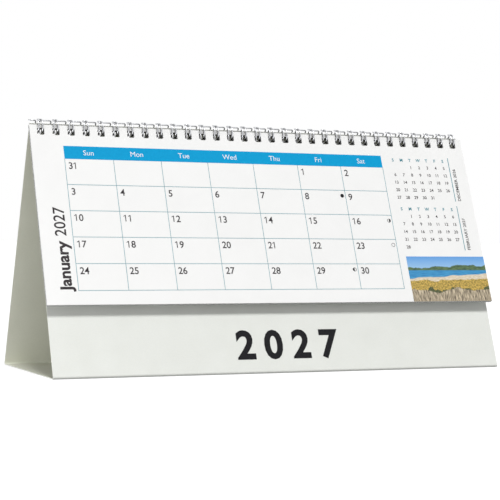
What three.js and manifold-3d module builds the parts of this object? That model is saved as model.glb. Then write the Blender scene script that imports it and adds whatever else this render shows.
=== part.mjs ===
// Desk calendar: month leaves hung by a twin-loop wire on a tent stand of folded card.
// Millimetres, +Z up, the leaves face -Y, the origin lies under the middle of the stand.
import * as THREE from 'three';
import { mergeVertices } from 'three/addons/utils/BufferGeometryUtils.js';
import Module from 'manifold-3d';

const wasm = await Module();
wasm.setup();

// Tent stand: one sheet of card with two folds, open along its crest. The height is that of
// the front panel's edge, and the back panel ends a little higher.
const stand_width = 264;
const stand_height = 133;
const back_rise = 0.8;
const panel_lean = THREE.MathUtils.degToRad(20.3);
const card_thickness = 0.5;
const fold_inner_radius = 0.6;
const crest_slit = 0.3;

// Month leaves, squared up into one block.
const leaf_width = 266.2;
const leaf_length = 102.5;
const leaf_block_thickness = 2.2;
const leaf_spread = THREE.MathUtils.degToRad(1.4);
const leaf_gap = 0.3;

// Punching, three holes to the inch, shared by the leaves and both panels: as many holes as
// the narrower of leaf and stand takes.
const pitch = 25.4 / 3;
const punch_margin = 4.5;
const hole_size = 4;
const hole_corner_radius = 0.8;
const hole_inset = 3.92;

// Twin-loop wire: fingers of two legs, joined to their neighbours by straight links.
const wire_diameter = 0.8;
const leg_side_clearance = 0.5;
const hang_clearance = 0.75;
const ring_centre_drop = 0.95;
const link_angle = THREE.MathUtils.degToRad(64);
const closing_gap = 1.5;
const link_corner_radius = 1.3;
const left_stub = 3;
const right_stub = 0.9;

// Facets of the rounded forms; an arc of an outline takes two facets for each step.
const fold_steps = 3;
const hole_corner_steps = 1;
const wire_sides = 6;
const leg_steps = 9;
const tip_steps = 3;
const link_corner_steps = 2;

const X_AXIS = new THREE.Vector3(1, 0, 0);
const Y_AXIS = new THREE.Vector3(0, 1, 0);
const Z_AXIS = new THREE.Vector3(0, 0, 1);

const card = new THREE.MeshStandardMaterial({ color: 0xecede6, roughness: 0.85, metalness: 0 });
const paper = new THREE.MeshStandardMaterial({ color: 0xfbfbf9, roughness: 0.6, metalness: 0 });
const steel = new THREE.MeshStandardMaterial({ color: 0xb9bbbd, roughness: 0.3, metalness: 1 });

function toSolid(geometry) {
  const bare = geometry.clone();
  bare.deleteAttribute('normal');
  bare.deleteAttribute('uv');
  const merged = mergeVertices(bare, 1e-4);
  return new wasm.Manifold(new wasm.Mesh({
    numProp: 3,
    vertProperties: new Float32Array(merged.attributes.position.array),
    triVerts: new Uint32Array(merged.index.array),
  }));
}

function toGeometry(solid) {
  const mesh = solid.getMesh();
  const geometry = new THREE.BufferGeometry();
  geometry.setAttribute('position', new THREE.BufferAttribute(mesh.vertProperties, 3));
  geometry.setIndex(new THREE.BufferAttribute(mesh.triVerts, 1));
  return geometry;
}

function namedMesh(name, geometry, material) {
  const mesh = new THREE.Mesh(geometry, material);
  mesh.name = name;
  return mesh;
}

function holePositions() {
  const punched_width = Math.min(leaf_width, stand_width) - 2 * punch_margin;
  const spaces = Math.floor(punched_width / pitch);
  return Array.from({ length: spaces + 1 }, (_, index) => (index - spaces / 2) * pitch);
}

// A square with rounded corners around (x, y), used as an outline or as a hole.
function punchOutline(path, x, y) {
  const half = hole_size / 2;
  const radius = Math.min(hole_corner_radius, half * 0.95);
  const middle = half - radius;
  const corners = [[1, 1], [-1, 1], [-1, -1], [1, -1]];
  corners.forEach(([across, up], index) => {
    const start = index * Math.PI / 2;
    path.absarc(x + across * middle, y + up * middle, radius, start, start + Math.PI / 2, false);
  });
  path.closePath();
  return path;
}

// One side of the tent: -1 is the front panel and +1 the back panel.
function panelFrame(side) {
  const up = new THREE.Vector3(0, -side * Math.sin(panel_lean), Math.cos(panel_lean));
  const outward = new THREE.Vector3(0, side * Math.cos(panel_lean), Math.sin(panel_lean));
  const inner_top = new THREE.Vector3(0, side * crest_slit / 2, stand_height);
  return { up, outward, inner_top };
}

function panelPoint(side, down, out) {
  const { up, outward, inner_top } = panelFrame(side);
  return inner_top.addScaledVector(up, -down).addScaledVector(outward, out);
}

// The sheet's section, from the front panel's top edge round the two folds and back inside.
function standSection() {
  const outer_radius = fold_inner_radius + card_thickness;
  const inner_foot = stand_height * Math.tan(panel_lean) + crest_slit / 2;
  const outer_foot = inner_foot + card_thickness / Math.cos(panel_lean);
  const half_corner = (Math.PI / 2 - panel_lean) / 2;
  const fold_y = outer_foot - outer_radius / Math.tan(half_corner);
  const wall_turn = Math.PI - panel_lean;
  const front_outer = panelPoint(-1, 0, card_thickness);
  const back_outer = panelPoint(1, -back_rise, card_thickness);
  const back_inner = panelPoint(1, -back_rise, 0);
  const front_inner = panelPoint(-1, 0, 0);
  const down = -Math.PI / 2;
  const section = new THREE.Shape();
  section.moveTo(front_outer.y, front_outer.z);
  section.absarc(-fold_y, outer_radius, outer_radius, wall_turn, Math.PI * 3 / 2, false);
  section.absarc(fold_y, outer_radius, outer_radius, down, panel_lean, false);
  section.lineTo(back_outer.y, back_outer.z);
  section.lineTo(back_inner.y, back_inner.z);
  section.absarc(fold_y, outer_radius, fold_inner_radius, panel_lean, down, true);
  section.absarc(-fold_y, outer_radius, fold_inner_radius, Math.PI * 3 / 2, wall_turn, true);
  section.lineTo(front_inner.y, front_inner.z);
  section.closePath();
  return section;
}

function punchTool(side, x) {
  const reach = card_thickness * 2;
  const outline = punchOutline(new THREE.Shape(), 0, 0);
  const tool = new THREE.ExtrudeGeometry(outline, {
    depth: reach * 2,
    curveSegments: hole_corner_steps,
    bevelEnabled: false,
  });
  const { up, outward } = panelFrame(side);
  const across = new THREE.Vector3().crossVectors(up, outward);
  const place = new THREE.Matrix4().makeBasis(across, up, outward);
  place.setPosition(panelPoint(side, hole_inset, card_thickness / 2 - reach).setX(x));
  return toSolid(tool.applyMatrix4(place));
}

function standGeometry() {
  const sheet = new THREE.ExtrudeGeometry(standSection(), {
    depth: stand_width,
    curveSegments: fold_steps,
    bevelEnabled: false,
  });
  sheet.translate(0, 0, -stand_width / 2);
  sheet.applyMatrix4(new THREE.Matrix4().makeBasis(Y_AXIS, Z_AXIS, X_AXIS));
  let stand = toSolid(sheet);
  for (const side of [-1, 1]) {
    for (const x of holePositions()) {
      stand = stand.subtract(punchTool(side, x));
    }
  }
  return toGeometry(stand);
}

// The block of leaves lies in its own frame: its front face at z = 0, its top edge at y = 0.
function leavesGeometry() {
  const half = leaf_width / 2;
  const sheet = new THREE.Shape();
  sheet.moveTo(-half, -leaf_length);
  sheet.lineTo(half, -leaf_length);
  sheet.lineTo(half, 0);
  sheet.lineTo(-half, 0);
  sheet.closePath();
  for (const x of holePositions()) {
    sheet.holes.push(punchOutline(new THREE.Path(), x, -hole_inset));
  }
  const block = new THREE.ExtrudeGeometry(sheet, {
    depth: leaf_block_thickness,
    curveSegments: hole_corner_steps,
    bevelEnabled: false,
  });
  block.translate(0, 0, -leaf_block_thickness);
  return block;
}

// The leaves hang in front of the front panel and fan away from it towards the bottom.
const leaf_lean = panel_lean + leaf_spread;
const leaf_stack = card_thickness + leaf_gap + leaf_block_thickness * Math.cos(leaf_spread);
const leaf_top_y = -leaf_stack / Math.cos(panel_lean) - crest_slit / 2;

function leafFacePoint(down) {
  const y = leaf_top_y - down * Math.sin(leaf_lean);
  return { y, z: stand_height - down * Math.cos(leaf_lean) };
}

// The ring of the wire goes through the leaves' holes, which hang on it, and through the
// middle of the back panel's holes, around a centre just below the crest.
function wireRing() {
  const hole_top = hole_inset - hole_size / 2;
  const front = leafFacePoint(hole_top + wire_diameter / 2 + hang_clearance);
  const back = panelPoint(1, hole_inset, card_thickness / 2);
  const z = stand_height - ring_centre_drop;
  const back_reach = back.y ** 2 + (back.z - z) ** 2;
  const front_reach = front.y ** 2 + (front.z - z) ** 2;
  const y = (back_reach - front_reach) / (2 * (back.y - front.y));
  return { y, z, radius: Math.hypot(back.y - y, back.z - z) };
}

// The wire's route unrolled: x along the binding, and the way round the ring from the link.
function fingerRoute(x, tip_way) {
  const half = hole_size / 2 - wire_diameter / 2 - leg_side_clearance;
  const bend = link_corner_radius;
  const leg_end = tip_way - half;
  const route = [];
  for (let step = 0; step <= link_corner_steps; step += 1) {
    const turn = step / link_corner_steps * Math.PI / 2;
    route.push([x - half - bend + bend * Math.sin(turn), bend - bend * Math.cos(turn)]);
  }
  for (let step = 1; step < leg_steps; step += 1) {
    route.push([x - half, bend + (leg_end - bend) * step / leg_steps]);
  }
  for (let step = 0; step <= tip_steps; step += 1) {
    const turn = step / tip_steps * Math.PI;
    route.push([x - half * Math.cos(turn), leg_end + half * Math.sin(turn)]);
  }
  for (let step = leg_steps - 1; step >= 1; step -= 1) {
    route.push([x + half, bend + (leg_end - bend) * step / leg_steps]);
  }
  for (let step = link_corner_steps; step >= 0; step -= 1) {
    const turn = step / link_corner_steps * Math.PI / 2;
    route.push([x + half + bend - bend * Math.sin(turn), bend - bend * Math.cos(turn)]);
  }
  return route;
}

function wireRoute(ring) {
  const tip_way = 2 * Math.PI * ring.radius - closing_gap;
  const route = holePositions().flatMap((x) => fingerRoute(x, tip_way));
  const first = route[0];
  const last = route[route.length - 1];
  route.unshift([first[0] - left_stub, first[1]]);
  route.push([last[0] + right_stub, last[1]]);
  return route.map(([x, way]) => {
    const angle = link_angle - way / ring.radius;
    const radial = new THREE.Vector3(0, Math.cos(angle), Math.sin(angle));
    const point = new THREE.Vector3(x, ring.y, ring.z).addScaledVector(radial, ring.radius);
    return { point, radial };
  });
}

// A round section swept along the route, turned to the ring's radius so that it can't twist.
function wireGeometry() {
  const route = wireRoute(wireRing());
  const positions = [];
  const faces = [];
  route.forEach(({ point, radial }, index) => {
    const before = route[Math.max(index - 1, 0)].point;
    const after = route[Math.min(index + 1, route.length - 1)].point;
    const along = new THREE.Vector3().subVectors(after, before).normalize();
    const beside = new THREE.Vector3().crossVectors(along, radial).normalize();
    const outward = new THREE.Vector3().crossVectors(beside, along);
    for (let side = 0; side < wire_sides; side += 1) {
      const turn = side / wire_sides * 2 * Math.PI;
      const rim = point.clone();
      rim.addScaledVector(outward, Math.cos(turn) * wire_diameter / 2);
      rim.addScaledVector(beside, Math.sin(turn) * wire_diameter / 2);
      positions.push(rim.x, rim.y, rim.z);
    }
  });
  const last_ring = (route.length - 1) * wire_sides;
  for (let ring = 0; ring < last_ring; ring += wire_sides) {
    for (let side = 0; side < wire_sides; side += 1) {
      const next = (side + 1) % wire_sides;
      const near = ring + side;
      const near_next = ring + next;
      faces.push(near, near_next, near_next + wire_sides);
      faces.push(near, near_next + wire_sides, near + wire_sides);
    }
  }
  for (let side = 1; side < wire_sides - 1; side += 1) {
    faces.push(0, side + 1, side);
    faces.push(last_ring, last_ring + side, last_ring + side + 1);
  }
  const geometry = new THREE.BufferGeometry();
  geometry.setAttribute('position', new THREE.Float32BufferAttribute(positions, 3));
  geometry.setIndex(faces);
  return geometry;
}

const calendar = new THREE.Group();
calendar.name = 'desk_calendar';

const stand = namedMesh('stand', standGeometry(), card);
const leaves = namedMesh('leaves', leavesGeometry(), paper);
leaves.position.set(0, leaf_top_y, stand_height);
leaves.rotation.x = Math.PI / 2 - leaf_lean;
const wire = namedMesh('wire_binding', wireGeometry(), steel);
calendar.add(stand, leaves, wire);

export default calendar;
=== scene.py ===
# Looks of the desk calendar: printed month leaves, twin-loop wire and a folded card stand.
# Form and print are in millimetres, turned into metres by MM. Materials and lights are in metres.
# Page places are x across the page from its middle and s down from its top edge.
import calendar as almanac
import math
import random

import bpy
from mathutils import Matrix, Vector


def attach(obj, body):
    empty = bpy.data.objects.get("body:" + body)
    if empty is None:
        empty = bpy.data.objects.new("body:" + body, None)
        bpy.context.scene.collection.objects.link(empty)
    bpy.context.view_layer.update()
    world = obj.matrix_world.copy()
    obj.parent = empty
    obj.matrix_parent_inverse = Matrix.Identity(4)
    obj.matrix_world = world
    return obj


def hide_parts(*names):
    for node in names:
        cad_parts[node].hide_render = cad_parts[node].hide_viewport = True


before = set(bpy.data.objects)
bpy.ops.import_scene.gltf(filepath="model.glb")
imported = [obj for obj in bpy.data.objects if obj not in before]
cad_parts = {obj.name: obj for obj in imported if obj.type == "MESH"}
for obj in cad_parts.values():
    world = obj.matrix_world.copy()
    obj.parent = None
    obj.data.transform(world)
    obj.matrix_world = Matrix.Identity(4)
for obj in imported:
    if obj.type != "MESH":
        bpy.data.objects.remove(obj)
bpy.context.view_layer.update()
MM = 0.001
TO_METRES = Matrix.Diagonal((MM, MM, MM, 1))
random.seed(27)

# Form shared with the solids
STAND_HEIGHT = 133.0
PANEL_LEAN = math.radians(20.3)
CARD = 0.5
CREST_SLIT = 0.3
LEAF_WIDTH = 266.2
LEAF_LENGTH = 102.5
BLOCK = 2.2
LEAF_SPREAD = math.radians(1.4)
LEAF_GAP = 0.3
LOOPS = 31
PITCH = 25.4 / 3
HOLE = 4.0
HOLE_CORNER = 0.8
HOLE_INSET = 3.92
WIRE = 0.8
LEG_SIDE_CLEARANCE = 0.5
HANG_CLEARANCE = 0.75
RING_DROP = 0.95
LINK_ANGLE = math.radians(64)
CLOSING_GAP = 1.5
LINK_CORNER = 1.3
LEFT_STUB = 3.0
RIGHT_STUB = 0.9
LEAF_LEAN = PANEL_LEAN + LEAF_SPREAD
STACK_DEPTH = CARD + LEAF_GAP + BLOCK * math.cos(LEAF_SPREAD)
LEAF_TOP_Y = -STACK_DEPTH / math.cos(PANEL_LEAN) - CREST_SLIT / 2

# The block drawn as single leaves
LEAVES = 13
LEAF_AIR = 0.016
LEAF_SHIFT_X = 0.15
LEAF_SHIFT_Y = 0.12

# Printed layout
GRID_LEFT = -115.35
GRID_TOP = 12.1
HEADER_HEIGHT = 7.6
COLUMN = 27.475
ROW = 15.0
ROWS = 5
RULE = 0.3
INK_LIFT = 0.03
RULE_LIFT = 0.032
NAME_LIFT = 0.06
INK_HALF = 0.012
CAP_OF_SIZE = 0.682
YEAR = 2027
WEEKDAYS = ["Sun", "Mon", "Tue", "Wed", "Thu", "Fri", "Sat"]


def srgb(r, g, b):
    def channel(value):
        value /= 255
        return value / 12.92 if value <= 0.04045 else ((value + 0.055) / 1.055) ** 2.4
    return (channel(r), channel(g), channel(b), 1.0)


# Materials, with the numbers of the mix node's colour sockets and the height above which the card gets
# painted shade in its hollows
MIX_BASE = 6
MIX_COVER = 7
MIX_RESULT = 2
CREST_SHADE_HEIGHT = 0.12
PAINTED_SHADE_TONE = (0.02, 0.02, 0.02, 1)
OPEN_TONE = (1, 1, 1, 1)


def new_material(name, roughness, metallic=0.0):
    material = bpy.data.materials.new(name)
    material.use_nodes = True
    shader = material.node_tree.nodes["Principled BSDF"]
    shader.inputs["Roughness"].default_value = roughness
    shader.inputs["Metallic"].default_value = metallic
    return material, material.node_tree.nodes, material.node_tree.links, shader


def noise(nodes, links, source, scale, detail=3.0, stretch=(1, 1, 1)):
    mapping = nodes.new("ShaderNodeMapping")
    mapping.inputs["Scale"].default_value = stretch
    texture = nodes.new("ShaderNodeTexNoise")
    texture.inputs["Scale"].default_value = scale
    texture.inputs["Detail"].default_value = detail
    links.new(source, mapping.inputs["Vector"])
    links.new(mapping.outputs["Vector"], texture.inputs["Vector"])
    return texture.outputs["Fac"]


def ramp(nodes, links, factor, stops):
    node = nodes.new("ShaderNodeValToRGB")
    node.color_ramp.elements[0].position = stops[0][0]
    node.color_ramp.elements[0].color = stops[0][1]
    node.color_ramp.elements[1].position = stops[-1][0]
    node.color_ramp.elements[1].color = stops[-1][1]
    for position, colour in stops[1:-1]:
        node.color_ramp.elements.new(position).color = colour
    links.new(factor, node.inputs["Fac"])
    return node.outputs["Color"]


def bump(nodes, links, height, shader, strength, distance):
    node = nodes.new("ShaderNodeBump")
    node.inputs["Strength"].default_value = strength
    node.inputs["Distance"].default_value = distance
    links.new(height, node.inputs["Height"])
    links.new(node.outputs["Normal"], shader.inputs["Normal"])


# A number is set on the socket itself, the output of a node is linked to it
def feed(links, value, socket):
    if isinstance(value, (int, float)):
        socket.default_value = value
    else:
        links.new(value, socket)


def math_node(nodes, links, operation, *values):
    node = nodes.new("ShaderNodeMath")
    node.operation = operation
    for socket, value in zip(node.inputs, values):
        feed(links, value, socket)
    return node.outputs[0]


def mix_colour(nodes, links, base, cover, factor, blend="MIX"):
    mix = nodes.new("ShaderNodeMix")
    mix.data_type = "RGBA"
    mix.blend_type = blend
    feed(links, factor, mix.inputs["Factor"])
    links.new(base, mix.inputs[MIX_BASE])
    links.new(cover, mix.inputs[MIX_COVER])
    return mix.outputs[MIX_RESULT]


def separate(nodes, links, source):
    split = nodes.new("ShaderNodeSeparateXYZ")
    links.new(source, split.inputs[0])
    return split.outputs


def vary_roughness(nodes, links, factor, shader, smoothest, roughest):
    shine = nodes.new("ShaderNodeMapRange")
    shine.inputs["To Min"].default_value = smoothest
    shine.inputs["To Max"].default_value = roughest
    links.new(factor, shine.inputs["Value"])
    links.new(shine.outputs["Result"], shader.inputs["Roughness"])


# Painted shade: colour darkened where nearby walls close the place in, as the ambient occlusion node
# finds it, above a height when one is given
def darken_hollows(nodes, links, colour, reach, closed, free, above=None):
    hollow = nodes.new("ShaderNodeAmbientOcclusion")
    hollow.samples = 4
    hollow.inputs["Distance"].default_value = reach
    painted_shade = ramp(nodes, links, hollow.outputs["AO"], [(closed, PAINTED_SHADE_TONE), (free, OPEN_TONE)])
    amount = 1.0
    if above is not None:
        place = separate(nodes, links, nodes.new("ShaderNodeTexCoord").outputs["Object"])
        amount = math_node(nodes, links, "GREATER_THAN", place["Z"], above)
    return mix_colour(nodes, links, colour, painted_shade, amount, "MULTIPLY")


# 1 on the faces that look into the tent of the stand, else 0: the card's reverse side, which gets
# painted shade of the tent's inside
def reverse_side(nodes, links):
    least_inward = -0.00002
    base_top = 0.002
    least_upward = 0.9
    coordinates = nodes.new("ShaderNodeTexCoord").outputs
    place = separate(nodes, links, coordinates["Object"])
    facing = separate(nodes, links, coordinates["Normal"])
    inward = math_node(nodes, links, "MULTIPLY", place["Y"], facing["Y"])
    panel = math_node(nodes, links, "LESS_THAN", inward, least_inward)
    low = math_node(nodes, links, "LESS_THAN", place["Z"], base_top)
    upward = math_node(nodes, links, "GREATER_THAN", facing["Z"], least_upward)
    base = math_node(nodes, links, "MULTIPLY", low, upward)
    return math_node(nodes, links, "MAXIMUM", panel, base)


# Card or paper with clouds and fibres, and with another pair of colours on its reverse side if given.
# For the stand these are darker and yellower than the front: partly the card's own back colour, partly
# painted shade of the tent's inside.
def stock_material(name, light, dark, roughness, fibre_scale, bump_strength, reverse_and_shade=None, above=None):
    spread = 0.07
    material, nodes, links, shader = new_material(name, roughness)
    shader.inputs["Specular IOR Level"].default_value = 0.3
    place = nodes.new("ShaderNodeTexCoord").outputs["Object"]
    cloud = noise(nodes, links, place, 60.0, 4.0)
    fibre = noise(nodes, links, place, fibre_scale, 5.0, (1, 2.6, 2.6))
    blend = math_node(nodes, links, "ADD", cloud, fibre)
    half = math_node(nodes, links, "MULTIPLY", blend, 0.5)
    colour = ramp(nodes, links, half, [(0.3, dark), (0.7, light)])
    # Painted shade: the faces inside the tent take the darker, yellower reverse colours
    if reverse_and_shade:
        reverse_shade_colour = ramp(nodes, links, half, [(0.3, reverse_and_shade[1]), (0.7, reverse_and_shade[0])])
        colour = mix_colour(nodes, links, colour, reverse_shade_colour, reverse_side(nodes, links))
    # Painted shade in holes, creases and narrow gaps, above the given height when one is given
    colour = darken_hollows(nodes, links, colour, reach=0.0026, closed=0.4, free=0.75, above=above)
    links.new(colour, shader.inputs["Base Color"])
    vary_roughness(nodes, links, cloud, shader, roughness - spread, roughness + spread)
    bump(nodes, links, fibre, shader, bump_strength, distance=0.00004)
    return material


def ink_material(name, light, dark, roughness=0.5):
    material, nodes, links, shader = new_material(name, roughness)
    shader.inputs["Specular IOR Level"].default_value = 0.1
    place = nodes.new("ShaderNodeTexCoord").outputs["Object"]
    grain = noise(nodes, links, place, 900.0, 3.0)
    colour = ramp(nodes, links, grain, [(0.25, dark), (0.75, light)])
    links.new(colour, shader.inputs["Base Color"])
    bump(nodes, links, grain, shader, strength=0.05, distance=0.00002)
    return material


def wire_material():
    material, nodes, links, shader = new_material("drawn_steel_wire", roughness=0.28, metallic=1.0)
    place = nodes.new("ShaderNodeTexCoord").outputs["Object"]
    grain = noise(nodes, links, place, 1500.0, 4.0)
    colour = ramp(nodes, links, grain, [(0.25, srgb(184, 185, 188)), (0.75, srgb(216, 217, 220))])
    # Painted shade on the wire where walls or card lie close, as inside the holes
    colour = darken_hollows(nodes, links, colour, reach=0.0022, closed=0.45, free=0.95)
    links.new(colour, shader.inputs["Base Color"])
    vary_roughness(nodes, links, grain, shader, smoothest=0.2, roughest=0.36)
    bump(nodes, links, grain, shader, strength=0.08, distance=0.00003)
    return material


CARD_STOCK = stock_material(
    "coated_card", srgb(237, 239, 234), srgb(229, 231, 225),
    roughness=0.62, fibre_scale=1400.0, bump_strength=0.12,
    # Reverse colours darker and yellower than the front, as painted shade of the tent's inside
    reverse_and_shade=(srgb(227, 228, 215), srgb(218, 219, 205)), above=CREST_SHADE_HEIGHT)
LEAF_STOCK = stock_material(
    "leaf_paper", srgb(251, 251, 250), srgb(246, 246, 245),
    roughness=0.5, fibre_scale=2200.0, bump_strength=0.07)
BAND_INK = ink_material("blue_ink", srgb(8, 166, 220), srgb(2, 156, 212))
RULE_INK = ink_material("rule_ink", srgb(140, 180, 190), srgb(124, 166, 176))
TEXT_INK = ink_material("grey_ink", srgb(68, 64, 66), srgb(52, 48, 50))
TITLE_INK = ink_material("black_ink", srgb(34, 34, 37), srgb(22, 22, 25))
WHITE_INK = ink_material("reversed_white", srgb(250, 251, 252), srgb(240, 243, 245))
TEAL_INK = ink_material("teal_ink", srgb(74, 152, 166), srgb(58, 134, 150))
WIRE_FINISH = wire_material()


# Frames of the printed faces: columns are across, up the face and out of it
def face_matrix(lean, origin):
    across = Vector((1, 0, 0))
    up = Vector((0, math.sin(lean), math.cos(lean)))
    out = Vector((0, -math.cos(lean), math.sin(lean)))
    matrix = Matrix((across, up, out)).transposed().to_4x4()
    return Matrix.Translation(Vector(origin) * MM) @ matrix


PAGE = face_matrix(LEAF_LEAN, (0, LEAF_TOP_Y, STAND_HEIGHT))
FRONT_PANEL = face_matrix(
    PANEL_LEAN,
    (0, -CREST_SLIT / 2 - CARD * math.cos(PANEL_LEAN), STAND_HEIGHT + CARD * math.sin(PANEL_LEAN)))


# A mesh piece that rides the part's one body
def new_piece(name, vertices, faces, material, matrix=None, smooth=False):
    mesh = bpy.data.meshes.new(name)
    mesh.from_pydata(vertices, [], faces)
    mesh.update()
    if matrix is not None:
        mesh.transform(matrix)
    if smooth:
        mesh.shade_smooth()
    mesh.materials.append(material)
    piece = bpy.data.objects.new(name, mesh)
    bpy.context.scene.collection.objects.link(piece)
    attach(piece, "root")
    return piece


# Text and fills come from temporary curve objects
def curve_to_mesh(curve):
    holder = bpy.data.objects.new(curve.name, curve)
    bpy.context.scene.collection.objects.link(holder)
    bpy.context.view_layer.update()
    evaluated = holder.evaluated_get(bpy.context.evaluated_depsgraph_get())
    mesh = bpy.data.meshes.new_from_object(evaluated)
    vertices = [tuple(vertex.co) for vertex in mesh.vertices]
    faces = [tuple(face.vertices) for face in mesh.polygons]
    bpy.data.objects.remove(holder)
    bpy.data.meshes.remove(mesh)
    return vertices, faces


def filled_outline(outlines, depth):
    curve = bpy.data.curves.new("outline", "CURVE")
    curve.dimensions = "2D"
    curve.fill_mode = "BOTH"
    curve.extrude = depth / 2
    for outline in outlines:
        spline = curve.splines.new("POLY")
        spline.points.add(len(outline) - 1)
        spline.use_cyclic_u = True
        for point, (x, y) in zip(spline.points, outline):
            point.co = (x, y, 0, 1)
    vertices, faces = curve_to_mesh(curve)
    bpy.data.curves.remove(curve)
    return vertices, faces


class Print:
    """Ink of one colour, gathered in page millimetres and laid on a face as one thin piece."""

    def __init__(self, name, material, lift=INK_LIFT):
        self.name = name
        self.material = material
        self.lift = lift
        self.vertices = []
        self.faces = []

    def add(self, vertices, faces, matrix):
        start = len(self.vertices)
        for vertex in vertices:
            self.vertices.append(tuple(matrix @ Vector(vertex)))
        self.faces += [tuple(start + index for index in face) for face in faces]

    def box(self, left, top, right, bottom):
        half = INK_HALF
        corners = [(left, -bottom), (right, -bottom), (right, -top), (left, -top)]
        vertices = [(x, y, z) for z in (-half, half) for x, y in corners]
        sides = [(corner, (corner + 1) % 4, (corner + 1) % 4 + 4, corner + 4) for corner in range(4)]
        self.add(vertices, [(3, 2, 1, 0), (4, 5, 6, 7)] + sides, Matrix.Identity(4))

    def outline(self, outlines):
        vertices, faces = filled_outline(outlines, 2 * INK_HALF)
        self.add(vertices, faces, Matrix.Identity(4))

    def text(self, body, x, s, cap, align="LEFT", turn=0.0, weight=0.0, squeeze=1.0, spacing=1.0):
        curve = bpy.data.curves.new("text", "FONT")
        curve.body = body
        curve.size = cap / CAP_OF_SIZE
        curve.align_x = align
        curve.offset = weight * curve.size
        curve.extrude = INK_HALF
        curve.resolution_u = 4
        curve.space_character = spacing
        vertices, faces = curve_to_mesh(curve)
        bpy.data.curves.remove(curve)
        place = Matrix.Translation((x, -s, 0)) @ Matrix.Rotation(turn, 4, "Z")
        self.add(vertices, faces, place @ Matrix.Diagonal((squeeze, 1, 1, 1)))

    def lay(self, face, slot):
        place = face @ Matrix.Translation((0, 0, self.lift * MM)) @ TO_METRES
        return new_piece(self.name, self.vertices, self.faces, self.material, place)


def circle(x, y, radius, start=0.0, end=2 * math.pi, steps=40):
    count = steps if end - start >= 2 * math.pi else steps + 1
    return [(x + radius * math.cos(start + (end - start) * i / steps),
             y + radius * math.sin(start + (end - start) * i / steps)) for i in range(count)]


# Month leaves
def hole_outline(x, y, corner_steps=5):
    middle = HOLE / 2 - HOLE_CORNER
    points = []
    for index, (across, up) in enumerate([(1, 1), (-1, 1), (-1, -1), (1, -1)]):
        for step in range(corner_steps + 1):
            turn = (index + step / corner_steps) * math.pi / 2
            points.append((x + across * middle + HOLE_CORNER * math.cos(turn),
                           y + up * middle + HOLE_CORNER * math.sin(turn)))
    return points


def hole_places():
    return [(index - (LOOPS - 1) / 2) * PITCH for index in range(LOOPS)]


def leaf_outlines():
    half = LEAF_WIDTH / 2
    edge = [(-half, -LEAF_LENGTH), (half, -LEAF_LENGTH), (half, 0), (-half, 0)]
    return [edge] + [hole_outline(x, -HOLE_INSET) for x in hole_places()]


def build_leaves():
    step = BLOCK / LEAVES
    sheet_vertices, sheet_faces = filled_outline(leaf_outlines(), step - LEAF_AIR)
    vertices = []
    faces = []
    for leaf in range(LEAVES):
        shift_x = random.uniform(-LEAF_SHIFT_X, LEAF_SHIFT_X) if leaf else 0.0
        shift_y = random.uniform(-LEAF_SHIFT_Y, LEAF_SHIFT_Y) if leaf else 0.0
        z = -(leaf + 0.5) * step + LEAF_AIR / 2
        start = len(vertices)
        vertices += [(x + shift_x, y + shift_y, z + depth) for x, y, depth in sheet_vertices]
        faces += [tuple(start + index for index in face) for face in sheet_faces]
    place = PAGE @ TO_METRES
    leaves = new_piece("month_leaves", vertices, faces, LEAF_STOCK, place)
    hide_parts("leaves")


# Wire, with y and z of a point on a panel of the stand, -1 being the front panel and 1 the back one
def panel_point(side, down, out):
    y = side * (CREST_SLIT / 2 + down * math.sin(PANEL_LEAN) + out * math.cos(PANEL_LEAN))
    return y, STAND_HEIGHT - down * math.cos(PANEL_LEAN) + out * math.sin(PANEL_LEAN)


# Centre and radius of the ring that hangs the leaves and passes through the middle of the back holes
def wire_ring():
    down = HOLE_INSET - HOLE / 2 + WIRE / 2 + HANG_CLEARANCE
    front_y = LEAF_TOP_Y - down * math.sin(LEAF_LEAN)
    front_z = STAND_HEIGHT - down * math.cos(LEAF_LEAN)
    back_y, back_z = panel_point(1, HOLE_INSET, CARD / 2)
    z = STAND_HEIGHT - RING_DROP
    back_reach = back_y ** 2 + (back_z - z) ** 2
    front_reach = front_y ** 2 + (front_z - z) ** 2
    y = (back_reach - front_reach) / (2 * (back_y - front_y))
    return y, z, math.hypot(back_y - y, back_z - z)


# One finger unrolled flat: x along the binding and the way round the ring from the links
def finger_route(x, tip_way, leg_steps=26, tip_steps=8, corner_steps=6):
    half = HOLE / 2 - WIRE / 2 - LEG_SIDE_CLEARANCE
    bend = LINK_CORNER
    leg_end = tip_way - half
    turns = [step / corner_steps * math.pi / 2 for step in range(corner_steps + 1)]
    ways = [bend + (leg_end - bend) * step / leg_steps for step in range(1, leg_steps)]
    tips = [step / tip_steps * math.pi for step in range(tip_steps + 1)]
    route = [(x - half - bend + bend * math.sin(t), bend - bend * math.cos(t)) for t in turns]
    route += [(x - half, way) for way in ways]
    route += [(x - half * math.cos(t), leg_end + half * math.sin(t)) for t in tips]
    route += [(x + half, way) for way in reversed(ways)]
    route += [(x + half + bend - bend * math.sin(t), bend - bend * math.cos(t))
              for t in reversed(turns)]
    return route


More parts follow.
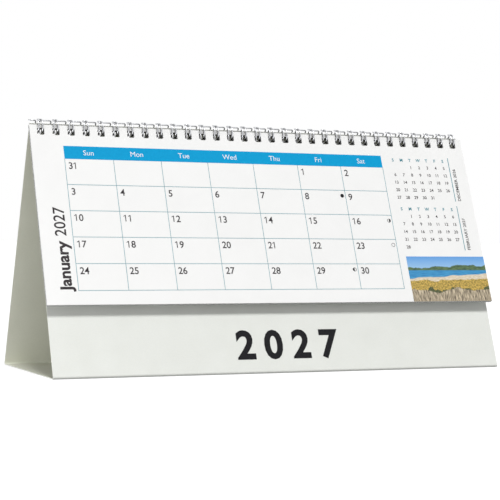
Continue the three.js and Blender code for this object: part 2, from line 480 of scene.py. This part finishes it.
def build_wire(sides=12):
    ring_y, ring_z, radius = wire_ring()
    tip_way = 2 * math.pi * radius - CLOSING_GAP
    route = []
    for x in hole_places():
        route += finger_route(x, tip_way)
    route.insert(0, (route[0][0] - LEFT_STUB, route[0][1]))
    route.append((route[-1][0] + RIGHT_STUB, route[-1][1]))
    points = []
    for x, way in route:
        angle = LINK_ANGLE - way / radius
        radial = Vector((0, math.cos(angle), math.sin(angle)))
        points.append((Vector((x, ring_y, ring_z)) + radial * radius, radial))
    vertices = []
    for index, (point, radial) in enumerate(points):
        along = points[min(index + 1, len(points) - 1)][0] - points[max(index - 1, 0)][0]
        along.normalize()
        beside = along.cross(radial).normalized()
        outward = beside.cross(along)
        for side in range(sides):
            turn = side / sides * 2 * math.pi
            rim = point + (outward * math.cos(turn) + beside * math.sin(turn)) * WIRE / 2
            vertices.append(tuple(rim * MM))
    faces = [tuple(range(sides - 1, -1, -1))]
    for ring in range(len(points) - 1):
        for side in range(sides):
            near = ring * sides + side
            following = ring * sides + (side + 1) % sides
            faces.append((near, following, following + sides, near + sides))
    last = (len(points) - 1) * sides
    faces.append(tuple(range(last, last + sides)))
    wire = new_piece("twin_loop_wire", vertices, faces, WIRE_FINISH, smooth=True)
    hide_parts("wire_binding")


# Large month table
def column_x(column):
    return GRID_LEFT + column * COLUMN


def row_s(row):
    return GRID_TOP + HEADER_HEIGHT + row * ROW


def build_table():
    right = column_x(len(WEEKDAYS))
    bottom = row_s(ROWS)
    band = Print("header_band", BAND_INK)
    band.box(GRID_LEFT, GRID_TOP, right, row_s(0))
    band.lay(PAGE, "leaf_paper")
    rules = Print("table_rules", RULE_INK, RULE_LIFT)
    for column in range(len(WEEKDAYS) + 1):
        x = column_x(column)
        rules.box(x - RULE / 2, row_s(0), x + RULE / 2, bottom + RULE / 2)
    for row in range(1, ROWS + 1):
        rules.box(GRID_LEFT, row_s(row) - RULE / 2, right, row_s(row) + RULE / 2)
    rules.lay(PAGE, "leaf_paper")
    names = Print("weekday_names", WHITE_INK, NAME_LIFT)
    cap = 2.9
    for column, weekday in enumerate(WEEKDAYS):
        baseline = GRID_TOP + (HEADER_HEIGHT + cap) / 2
        names.text(weekday, column_x(column + 0.5), baseline, cap, "CENTER")
    names.lay(PAGE, "leaf_paper")


def month_cells(year, month):
    weeks = almanac.Calendar(firstweekday=6).monthdayscalendar(year, month)
    return [(row, column, day) for row, week in enumerate(weeks)
            for column, day in enumerate(week) if day]


# A 1 is drawn with its flag, the other figures come from the font
def add_number(ink, figures, x, baseline, cap):
    advance = 0.7 * cap
    for index, figure in enumerate(figures):
        left = x + index * advance
        if figure == "1":
            stem = [(0.28, 0), (0.41, 0), (0.41, 1), (0.31, 1)]
            flag = [(0.05, 0.84), (0.05, 0.72), (0.28, 0.86)]
            ink.outline([[(left + across * cap, up * cap - baseline) for across, up in stem + flag]])
        else:
            ink.text(figure, left, baseline, cap, squeeze=0.97, weight=0.01)


# The sixth week shares the first row, as the 31 does in the photo
def build_days():
    numbers = Print("day_numbers", TEXT_INK)
    moons = Print("moon_marks", TITLE_INK)
    cap = 3.75
    left_margin = 1.7
    top_margin = 2.1
    moon_radius = 1.15
    moon_inset = 2.1
    moon_drop = 3.35
    moon_faces = {8: "full", 16: "right", 23: "open", 29: "left"}
    for row, column, day in month_cells(YEAR, 1):
        row = row % ROWS
        x = column_x(column) + left_margin
        add_number(numbers, str(day), x, row_s(row) + top_margin + cap, cap)
        if day in moon_faces:
            centre_x = column_x(column + 1) - moon_inset
            centre_y = -(row_s(row) + moon_drop)
            add_moon(moons, centre_x, centre_y, moon_radius, moon_faces[day])
    numbers.lay(PAGE, "leaf_paper")
    moons.lay(PAGE, "leaf_paper")


def add_moon(moons, x, y, radius, face):
    inner = radius - 0.24
    quarter = math.pi / 2
    if face == "full":
        moons.outline([circle(x, y, radius)])
        return
    moons.outline([circle(x, y, radius), circle(x, y, inner)])
    if face == "right":
        moons.outline([circle(x, y, inner, -quarter, quarter)])
    if face == "left":
        moons.outline([circle(x, y, inner, quarter, 3 * quarter)])


def build_title():
    title = Print("month_title", TEXT_INK)
    cap = 6.0
    baseline = -118.9
    month_start = 94.45
    year_start = 64.35
    upward = math.pi / 2
    title.text("January", baseline, month_start, cap, turn=upward, weight=0.03, squeeze=1.05)
    title.text(str(YEAR), baseline, year_start, cap, turn=upward, weight=0.008, squeeze=0.94)
    title.lay(PAGE, "leaf_paper")


# Small months at the right
def build_small_months():
    days = Print("small_month_days", TEXT_INK)
    heads = Print("small_month_heads", TEAL_INK)
    titles = Print("small_month_titles", TEXT_INK)
    rules = Print("small_month_rules", TEAL_INK)
    first_x = 84.6
    spacing = 5.57
    first_row = 4.6
    row_step = 4.78
    cap = 1.8
    rule_x = 121.85
    rule_half = 0.2
    rule_length = 27.9
    title_gap = 3.7
    title_start = 27.7
    months = [(YEAR - 1, 12, "DECEMBER", 14.55, 12.45), (YEAR, 2, "FEBRUARY", 45.55, 43.35)]
    for year, month, name, head_s, rule_top in months:
        for column, weekday in enumerate(WEEKDAYS):
            x = first_x + column * spacing
            heads.text(weekday[0], x, head_s + cap / 2, cap, "CENTER", weight=0.022)
        for row, column, day in month_cells(year, month):
            x = first_x + column * spacing
            baseline = head_s + first_row + row * row_step + cap / 2
            days.text(str(day), x, baseline, cap, "CENTER", weight=0.012)
        rules.box(rule_x - rule_half, rule_top, rule_x + rule_half, rule_top + rule_length)
        titles.text(f"{name} {year}", rule_x + title_gap, rule_top + title_start, cap,
                    turn=math.pi / 2, weight=0.012, squeeze=1.09)
    for ink in (days, heads, titles, rules):
        ink.lay(PAGE, "leaf_paper")


# Printed landscape, made in layers from the sky down to the reeds, in shares of the picture's size
PICTURE_LEFT = 81.7
PICTURE_TOP = 75.15
EDGE_SHARPNESS = 60.0


def landscape_material():
    material, nodes, links, shader = new_material("landscape_print", roughness=0.42)
    place = nodes.new("ShaderNodeTexCoord").outputs["UV"]
    split = separate(nodes, links, place)
    across = split["X"]
    height = split["Y"]

    def calculate(operation, *values):
        return math_node(nodes, links, operation, *values)

    def wave(size, detail, offset):
        texture = nodes.new("ShaderNodeTexNoise")
        texture.noise_dimensions = "1D"
        texture.inputs["Scale"].default_value = size
        texture.inputs["Detail"].default_value = detail
        links.new(calculate("ADD", across, offset), texture.inputs["W"])
        return calculate("SUBTRACT", texture.outputs["Fac"], 0.5)

    def layer(base, cover, mask):
        return mix_colour(nodes, links, base, cover, mask)

    # 1 under an edge that waves about a level and rises to the right by a slope
    def below(level, amount, size, detail, offset, slope=0.0):
        edge = calculate("ADD", calculate("MULTIPLY", wave(size, detail, offset), amount), level)
        edge = calculate("ADD", edge, calculate("MULTIPLY", across, slope))
        step = calculate("MULTIPLY", calculate("SUBTRACT", edge, height), EDGE_SHARPNESS)
        return calculate("MINIMUM", calculate("MAXIMUM", step, 0.0), 1.0)

    def flecks(scale, stretch, dark, light):
        speckle = noise(nodes, links, place, scale, 5.0, stretch)
        return ramp(nodes, links, speckle, [(0.35, dark), (0.65, light)])

    sky = ramp(nodes, links, height, [(0.6, srgb(176, 214, 242)), (1.0, srgb(96, 160, 226))])
    hills = flecks(16, (1, 1.8, 1), srgb(44, 74, 52), srgb(96, 122, 74))
    lake = flecks(9, (1, 14, 1), srgb(20, 110, 172), srgb(72, 168, 214))
    shore = flecks(24, (1, 3, 1), srgb(206, 188, 160), srgb(240, 228, 206))
    meadow = flecks(34, (1.4, 0.8, 1), srgb(128, 112, 48), srgb(222, 186, 92))
    reeds = flecks(30, (3.4, 0.22, 1), srgb(66, 54, 40), srgb(222, 206, 176))
    trees = flecks(46, (1, 1, 1), srgb(34, 44, 30), srgb(96, 104, 56))
    # Each edge has its level, then its waves' height, size, detail and offset, then its slope
    picture = layer(sky, hills, below(0.74, 0.22, 3.2, 4.0, 3.0, 0.1))
    picture = layer(picture, lake, below(0.7, 0.0, 1.0, 0.0, 0.0))
    picture = layer(picture, shore, below(0.52, 0.1, 2.4, 3.0, 7.0, 0.1))
    picture = layer(picture, meadow, below(0.46, 0.16, 4.0, 4.0, 11.0, 0.04))
    picture = layer(picture, trees, below(0.22, 0.7, 3.4, 6.0, 17.0, 0.1))
    picture = layer(picture, reeds, below(0.26, 0.4, 2.6, 6.0, 23.0, 0.0))
    links.new(picture, shader.inputs["Base Color"])
    return material


def build_landscape():
    right = LEAF_WIDTH / 2
    width = right - PICTURE_LEFT
    height = LEAF_LENGTH - PICTURE_TOP
    ink = Print("landscape_print", landscape_material())
    ink.box(PICTURE_LEFT, PICTURE_TOP, right, LEAF_LENGTH)
    flat = [(x, y) for x, y, _ in ink.vertices]
    piece = ink.lay(PAGE, "leaf_paper")
    layer = piece.data.uv_layers.new(name="UVMap")
    for loop in piece.data.loops:
        x, y = flat[loop.vertex_index]
        layer.data[loop.index].uv = ((x - PICTURE_LEFT) / width, (y + LEAF_LENGTH) / height)


def build_foot_numerals():
    foot = Print("foot_numerals", TITLE_INK)
    cap = 15.0
    middle_x = 1.5
    baseline = 133.2
    foot.text(str(YEAR), middle_x, baseline, cap, "CENTER", weight=0.03, spacing=1.5)
    foot.lay(FRONT_PANEL, "stand_card")


# Camera, fitted to the photo, with its place in millimetres and its focal length in photo pixels
CAMERA_PLACE = (-356.54, -826.78, 74.69)
CAMERA_YAW = math.radians(23.196)
CAMERA_PITCH = math.radians(-0.544)
CAMERA_ROLL = math.radians(-0.506)
FOCAL_PIXELS = 1576.7
PHOTO_SIDE = 500
SENSOR = 36.0


def build_camera():
    data = bpy.data.cameras.new("camera")
    data.sensor_width = SENSOR
    data.lens = FOCAL_PIXELS * SENSOR / PHOTO_SIDE
    data.clip_start = 0.01
    data.clip_end = 60
    camera = bpy.data.objects.new("camera", data)
    bpy.context.scene.collection.objects.link(camera)
    sin_yaw, cos_yaw = math.sin(CAMERA_YAW), math.cos(CAMERA_YAW)
    sin_pitch, cos_pitch = math.sin(CAMERA_PITCH), math.cos(CAMERA_PITCH)
    sin_roll, cos_roll = math.sin(CAMERA_ROLL), math.cos(CAMERA_ROLL)
    forward = Vector((sin_yaw * cos_pitch, cos_yaw * cos_pitch, sin_pitch))
    level = Vector((cos_yaw, -sin_yaw, 0))
    down = forward.cross(level)
    right = level * cos_roll + down * sin_roll
    downward = down * cos_roll - level * sin_roll
    turn = Matrix((right, -downward, -forward)).transposed().to_4x4()
    camera.matrix_world = Matrix.Translation(Vector(CAMERA_PLACE) * MM) @ turn
    bpy.context.scene.camera = camera


# Lights, world and stage
WORLD_LIGHT = 0.36
FLOOR_TONE = 0.4
FLOOR_LIFT = 0.68
FLOOR_REACH = 12.0
KEY_LIGHT = 2.4
KEY_TRAVEL = (0.04, 0.5, -1.0)
KEY_SOFTNESS = math.radians(12)
SIDE_LIGHT = 0.18
SIDE_PLACE = (-0.3, -0.07, 0.012)
SIDE_TARGET = (-0.12, 0.03, 0.02)
SIDE_SIZE = 0.03


def add_light(name, kind, power, place, travel):
    data = bpy.data.lights.new(name, kind)
    data.energy = power
    light = bpy.data.objects.new(name, data)
    bpy.context.scene.collection.objects.link(light)
    aim = travel.to_track_quat("-Z", "Y").to_matrix().to_4x4()
    light.matrix_world = Matrix.Translation(place) @ aim
    return data


def build_lights():
    key = add_light("key", "SUN", KEY_LIGHT, (0, 0, 0), Vector(KEY_TRAVEL))
    key.angle = KEY_SOFTNESS
    side_travel = Vector(SIDE_TARGET) - Vector(SIDE_PLACE)
    side = add_light("side", "AREA", SIDE_LIGHT, SIDE_PLACE, side_travel)
    side.size = SIDE_SIZE


# 1 for rays that show the world or the floor itself, 0 for the light that they give
def seen_directly(nodes, links):
    rays = nodes.new("ShaderNodeLightPath").outputs
    first = math_node(nodes, links, "MAXIMUM", rays["Is Camera Ray"], rays["Is Glossy Ray"])
    return math_node(nodes, links, "MAXIMUM", first, rays["Is Transmission Ray"])


def build_world():
    world = bpy.data.worlds.new("studio")
    bpy.context.scene.world = world
    world.use_nodes = True
    nodes = world.node_tree.nodes
    links = world.node_tree.links
    nodes.clear()
    mix = nodes.new("ShaderNodeMixShader")
    output = nodes.new("ShaderNodeOutputWorld")
    links.new(seen_directly(nodes, links), mix.inputs[0])
    for socket, strength in ((mix.inputs[1], WORLD_LIGHT), (mix.inputs[2], 1.0)):
        background = nodes.new("ShaderNodeBackground")
        background.inputs["Color"].default_value = (1, 1, 1, 1)
        background.inputs["Strength"].default_value = strength
        links.new(background.outputs[0], socket)
    links.new(mix.outputs[0], output.inputs["Surface"])


def build_floor():
    mesh = bpy.data.meshes.new("floor")
    signs = [(-1, -1), (1, -1), (1, 1), (-1, 1)]
    corners = [(across * FLOOR_REACH, along * FLOOR_REACH, 0) for across, along in signs]
    mesh.from_pydata(corners, [], [(0, 1, 2, 3)])
    floor = bpy.data.objects.new("floor", mesh)
    bpy.context.scene.collection.objects.link(floor)
    material, nodes, links, shader = new_material("floor", roughness=0.9)
    shader.inputs["Base Color"].default_value = (FLOOR_TONE, FLOOR_TONE, FLOOR_TONE, 1)
    shader.inputs["Specular IOR Level"].default_value = 0.1
    glow = nodes.new("ShaderNodeEmission")
    lift = math_node(nodes, links, "MULTIPLY", seen_directly(nodes, links), FLOOR_LIFT)
    add = nodes.new("ShaderNodeAddShader")
    links.new(lift, glow.inputs["Strength"])
    links.new(shader.outputs[0], add.inputs[0])
    links.new(glow.outputs[0], add.inputs[1])
    links.new(add.outputs[0], nodes["Material Output"].inputs["Surface"])
    mesh.materials.append(material)


def set_finish(node, material):
    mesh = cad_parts[node].data
    mesh.materials.clear()
    mesh.materials.append(material)


set_finish("stand", CARD_STOCK)
set_finish("leaves", LEAF_STOCK)
set_finish("wire_binding", WIRE_FINISH)
build_leaves()
build_wire()
build_table()
build_days()
build_title()
build_small_months()
build_landscape()
build_foot_numerals()
build_camera()
build_world()
build_floor()
build_lights()
bpy.context.scene.view_settings.view_transform = "Standard"
